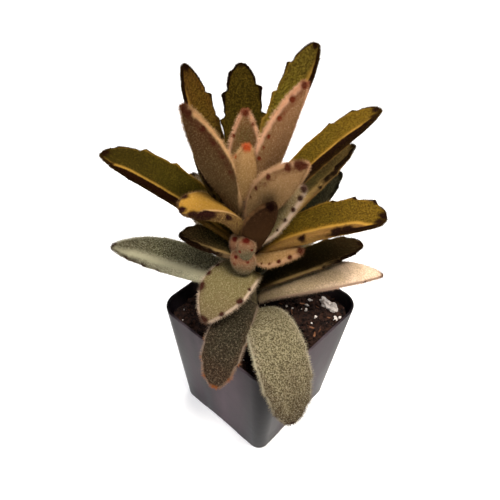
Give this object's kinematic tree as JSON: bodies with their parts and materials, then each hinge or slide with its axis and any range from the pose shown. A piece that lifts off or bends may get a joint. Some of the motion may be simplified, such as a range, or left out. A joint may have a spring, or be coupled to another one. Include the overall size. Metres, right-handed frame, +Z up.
{
  "type": "potted chocolate soldier kalanchoe",
  "caption": "Felt-leaved succulent with long spoon-shaped leaves, dark-spotted at the tips, rising around one short stem from soil in a small square tapered nursery pot",
  "frame": {"origin": "Centre of the pot's underside, in the plane that it stands on", "axes": "+Z is up, along the plant; +X and +Y are square to two neighbouring sides of the pot"},
  "size_m": [0.0923, 0.0829, 0.1574],
  "materials": {
    "pot": "gloss",
    "soil": "matte",
    "stem": "matte",
    "leaf_young": "matte",
    "leaf_mature": "matte",
    "leaf_old": "matte"
  },
  "bodies": {
    "root": {"pot": "pot", "soil": "soil", "stem": "stem", "leaf_crown_1": "leaf_young", "leaf_crown_2": "leaf_young", "leaf_upper_1": "leaf_mature", "leaf_upper_2": "leaf_mature", "leaf_upper_3": "leaf_mature", "leaf_upper_4": "leaf_young", "leaf_upper_5": "leaf_young", "leaf_upper_6": "leaf_young", "leaf_upper_7": "leaf_young", "leaf_middle_1": "leaf_mature", "leaf_middle_2": "leaf_young", "leaf_middle_3": "leaf_mature", "leaf_middle_4": "leaf_old", "leaf_middle_5": "leaf_mature", "leaf_middle_6": "leaf_mature", "leaf_middle_7": "leaf_young", "leaf_middle_8": "leaf_old", "leaf_middle_9": "leaf_mature", "leaf_middle_10": "leaf_mature", "leaf_middle_11": "leaf_young", "leaf_middle_12": "leaf_mature", "leaf_middle_13": "leaf_mature", "leaf_middle_14": "leaf_mature", "leaf_lower_1": "leaf_old", "leaf_lower_2": "leaf_mature", "leaf_lower_3": "leaf_old", "leaf_lower_4": "leaf_young", "leaf_lower_5": "leaf_old", "leaf_lower_6": "leaf_old", "leaf_lower_7": "leaf_old", "leaf_lower_8": "leaf_old", "leaf_lower_9": "leaf_old", "leaf_lower_10": "leaf_old", "leaf_lower_11": "leaf_old", "leaf_shoot_1": "leaf_young", "leaf_shoot_2": "leaf_young", "leaf_shoot_3": "leaf_young"}
  },
  "joints": []
}
